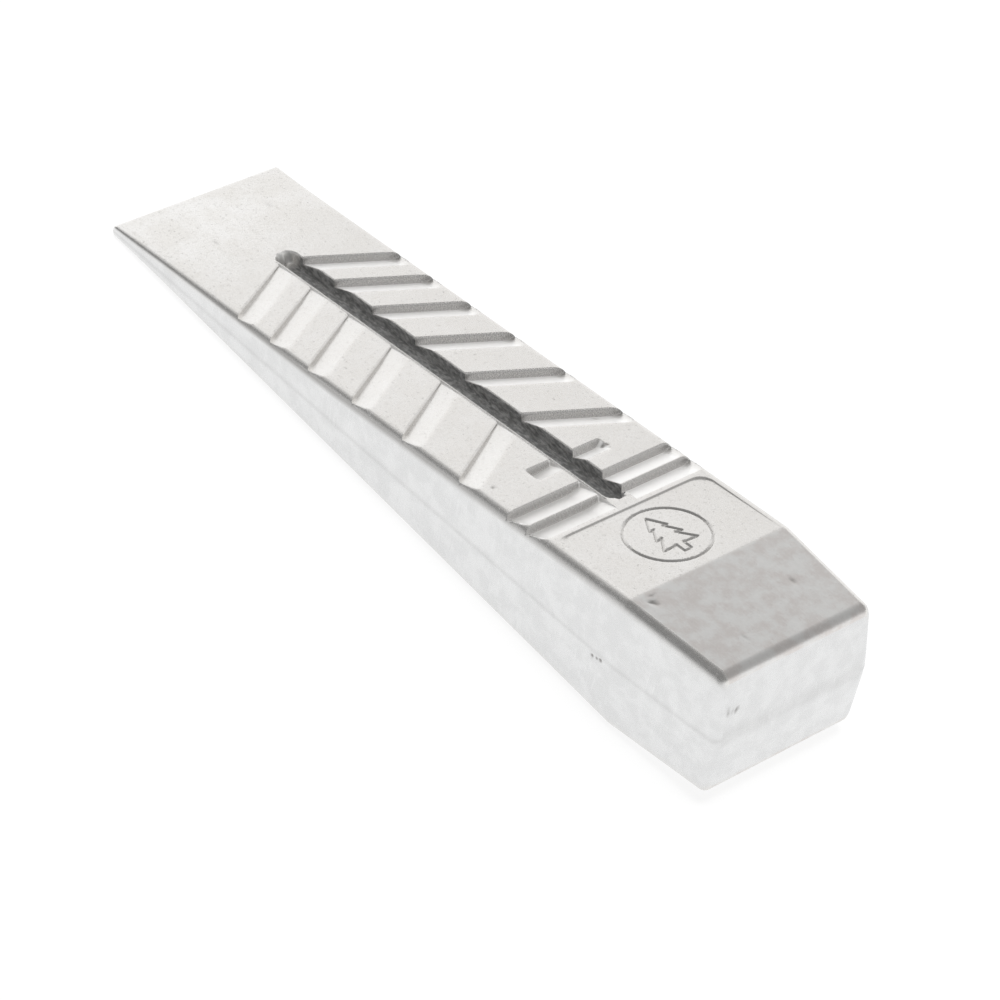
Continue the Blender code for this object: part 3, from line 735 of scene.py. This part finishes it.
def forged_aluminium():
    material = bpy.data.materials.new("forged_aluminium_fine")
    material.use_nodes = True
    tree = material.node_tree
    shader = tree.nodes["Principled BSDF"]
    kit = Nodes(tree)
    raw = kit.add("ShaderNodeTexCoord", output=3)
    place = kit.stretch(raw, (1 / MM, 1 / MM, 1 / MM))
    crust_and_shade, bevel, ramp, dirt_and_shade, flank, wall = (kit.attribute(name) for name in PAINT_SHARES)

    # textures that several tones share; their scales are per millimetre
    patches = kit.remap(kit.noise(place, 0.11, 4.0, 0.6), 0.35, 0.68)
    clouds = kit.remap(kit.noise(place, 0.22, 5.0, 0.6), 0.38, 0.62)
    grains = kit.noise(place, 0.9, 4.0, 0.65)
    fine = kit.noise(place, 4.5, 2.0, 0.6)
    pits = kit.remap(kit.noise(place, 1.3, 5.0, 0.75), 0.60, 0.70)
    rubbed = scratches(kit, place, (0.0, 0.0, 0.7), 5.0, 0.16, 0.63)
    crossed = scratches(kit, place, (0.0, 0.0, -0.5), 4.0, 0.12, 0.65)
    marks = kit.math('ADD', rubbed, crossed)
    streaks = kit.noise(kit.stretch(place, (0.5, 1.6, 1.6), (0.0, 0.0, 0.3)), 1.0, 5.0, 0.7)
    crust = kit.remap(streaks, 0.38, 0.66)
    strokes = kit.remap(kit.noise(kit.stretch(place, (1.8, 1.8, 0.12)), 1.0, 3.0, 0.6), 0.50, 0.75)
    side_wear = kit.math('MULTIPLY', strokes, kit.remap(kit.noise(place, 0.07, 2.0), 0.45, 0.65))

    # the face: mottled, with painted shade that darkens it away from the tip and towards +Y
    split = kit.add("ShaderNodeSeparateXYZ", {0: place}).node
    shade_along = kit.remap(split.outputs[0], -102.0, -68.0, 0.0, 0.55)
    shade_across = kit.remap(split.outputs[1], -5.0, 25.0, 0.0, 0.3)
    face = kit.mix(patches, *FACE_TONES)
    face = kit.mix(kit.math('ADD', shade_along, shade_across), face, FACE_SHADE_TONE)
    face = kit.mix(kit.remap(grains, 0.48, 0.74, 0.0, 0.7), face, FACE_GRAIN)
    face = kit.tint(face, pits, 0.3, FACE_PIT)
    face = kit.tint(face, marks, 0.3, FACE_SCRATCH)

    # the bevel: smeared and greyer
    smeared = kit.mix(clouds, *BEVEL_TONES)
    smeared = kit.mix(kit.remap(grains, 0.45, 0.75, 0.0, 0.35), smeared, BEVEL_GRAIN)
    smeared = kit.tint(smeared, pits, 0.35, BEVEL_PIT)
    smeared = kit.tint(smeared, marks, 0.3, BEVEL_SCRATCH)

    # the sides and the head, then everything laid over each other
    side = kit.mix(clouds, *SIDE_TONES)
    side = kit.tint(side, side_wear, 0.5, SIDE_WEAR)
    colour = kit.mix(bevel, face, smeared)
    # painted shade on the steep notch walls
    colour = kit.tint(colour, wall, 0.8, WALL_SHADE_TONE)
    # painted highlight on the ramps, the strip beside the slot and the slot's tip end
    colour = kit.tint(colour, ramp, 0.9, RAMP_HIGHLIGHT_TONE)
    colour = kit.mix(flank, colour, side)
    # dirt in knocks and the mark, with painted shade below the edges and along the parting ridge
    colour = kit.tint(colour, dirt_and_shade, 0.8, DIRT_AND_SHADE_TONE)
    # dark crust with painted shade in the slot
    colour = kit.mix(crust_and_shade, colour, kit.mix(crust, *CRUST_AND_SHADE_TONES))

    rough = kit.remap(fine, 0.3, 0.7, *ROUGHNESS)
    for mask, extra in ((bevel, BEVEL_ROUGHNESS), (crust_and_shade, SOOT_ROUGHNESS), (ramp, RAMP_ROUGHNESS)):
        rough = kit.math('ADD', rough, kit.math('MULTIPLY', mask, extra))
    metallic = kit.math('SUBTRACT', 1.0, kit.math('MULTIPLY', ramp, RAMP_CHALK))
    metallic = kit.math('SUBTRACT', metallic, kit.math('MULTIPLY', wall, WALL_CHALK))

    height = kit.math('ADD', kit.math('MULTIPLY', grains, 0.5), kit.math('MULTIPLY', fine, 0.1))
    height = kit.math('SUBTRACT', height, kit.math('MULTIPLY', marks, 0.15))
    height = kit.math('SUBTRACT', height, kit.math('MULTIPLY', pits, 0.5))
    calmer = kit.remap(kit.math('ADD', flank, bevel), 0.0, 1.0, 1.0, 0.35)
    height = kit.math('MULTIPLY', height, calmer)
    for texture, mask, strength in ((side_wear, flank, 0.3), (crust, crust_and_shade, 4.0)):
        raised = kit.math('MULTIPLY', kit.math('MULTIPLY', texture, mask), strength)
        height = kit.math('ADD', height, raised)
    bump = kit.add("ShaderNodeBump", {"Strength": 1.0, "Distance": BUMP_HEIGHT, "Height": height})

    tree.links.new(metallic, shader.inputs["Metallic"])
    tree.links.new(colour, shader.inputs["Base Color"])
    tree.links.new(rough, shader.inputs["Roughness"])
    tree.links.new(bump, shader.inputs["Normal"])
    return material


# ---- studio --------------------------------------------------------------------------------------
def floor():
    mesh = bpy.data.meshes.new("floor")
    corners = [(x * FLOOR_REACH, y * FLOOR_REACH, 0.0) for x, y in ((-1, -1), (1, -1), (1, 1), (-1, 1))]
    mesh.from_pydata(corners, [], [(0, 1, 2, 3)])
    plane = bpy.data.objects.new("floor", mesh)
    bpy.context.collection.objects.link(plane)
    material = bpy.data.materials.new("floor_paper")
    material.use_nodes = True
    shader = material.node_tree.nodes["Principled BSDF"]
    shader.inputs["Base Color"].default_value = (FLOOR_PAPER, FLOOR_PAPER, FLOOR_PAPER, 1.0)
    shader.inputs["Roughness"].default_value = FLOOR_ROUGHNESS
    shader.inputs["Emission Color"].default_value = (1.0, 1.0, 1.0, 1.0)
    shader.inputs["Emission Strength"].default_value = FLOOR_GLOW
    mesh.materials.append(material)


def camera():
    level = math.cos(CAMERA_ELEVATION)
    back = Vector((level * math.sin(CAMERA_AZIMUTH), -level * math.cos(CAMERA_AZIMUTH),
                   math.sin(CAMERA_ELEVATION)))
    data = bpy.data.cameras.new("camera")
    data.lens = CAMERA_LENS
    data.sensor_width = CAMERA_SENSOR
    item = bpy.data.objects.new("camera", data)
    turn = back.to_track_quat('Z', 'Y').to_matrix() @ Matrix.Rotation(CAMERA_ROLL, 3, 'Z')
    place = Vector(CAMERA_TARGET) + back * CAMERA_DISTANCE
    item.matrix_world = Matrix.Translation(place) @ turn.to_4x4()
    bpy.context.collection.objects.link(item)
    bpy.context.scene.camera = item


def lights():
    """A soft studio: white low light from behind the wedge, greyer overhead and in front."""
    world = bpy.data.worlds.new("studio")
    bpy.context.scene.world = world
    world.use_nodes = True
    kit = Nodes(world.node_tree)
    direction = kit.add("ShaderNodeTexCoord", output=0)
    split = kit.add("ShaderNodeSeparateXYZ", {0: direction}).node
    inputs = {0: direction, 1: BRIGHT_SIDE}
    toward = kit.add("ShaderNodeVectorMath", inputs, output=1, operation='DOT_PRODUCT')
    low = kit.remap(split.outputs[2], *BRIGHT_TOP, 1.0, 0.0)
    behind = kit.remap(toward, *BRIGHT_SPREAD)
    horizon = kit.remap(split.outputs[2], *HORIZON, 1.0, 0.0)
    horizon_share = kit.remap(split.outputs[1], *HORIZON_SPREAD, *HORIZON_SHARES)
    ring = kit.math('MULTIPLY', horizon, horizon_share)
    bright = kit.math('MAXIMUM', kit.math('MULTIPLY', low, behind), ring)
    dim = kit.remap(split.outputs[1], *DIM_SPREAD, *DIM_LIGHTS)
    above_dim = kit.math('MULTIPLY', bright, kit.math('SUBTRACT', BRIGHT_LIGHT, dim))
    strength = kit.math('ADD', dim, above_dim)
    background = world.node_tree.nodes["Background"]
    background.inputs["Color"].default_value = (1.0, 1.0, 1.0, 1.0)
    world.node_tree.links.new(strength, background.inputs["Strength"])

    lamp = bpy.data.lights.new("overhead", 'SUN')
    lamp.energy = OVERHEAD_LAMP
    lamp.angle = OVERHEAD_ANGLE
    item = bpy.data.objects.new("overhead", lamp)
    item.visible_glossy = False
    bpy.context.collection.objects.link(item)
    bpy.context.scene.view_settings.view_transform = 'Standard'


wedge = build_wedge()
wedge.data.materials.append(forged_aluminium())
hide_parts("wedge_body")
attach(wedge, "root")
floor()
camera()
lights()
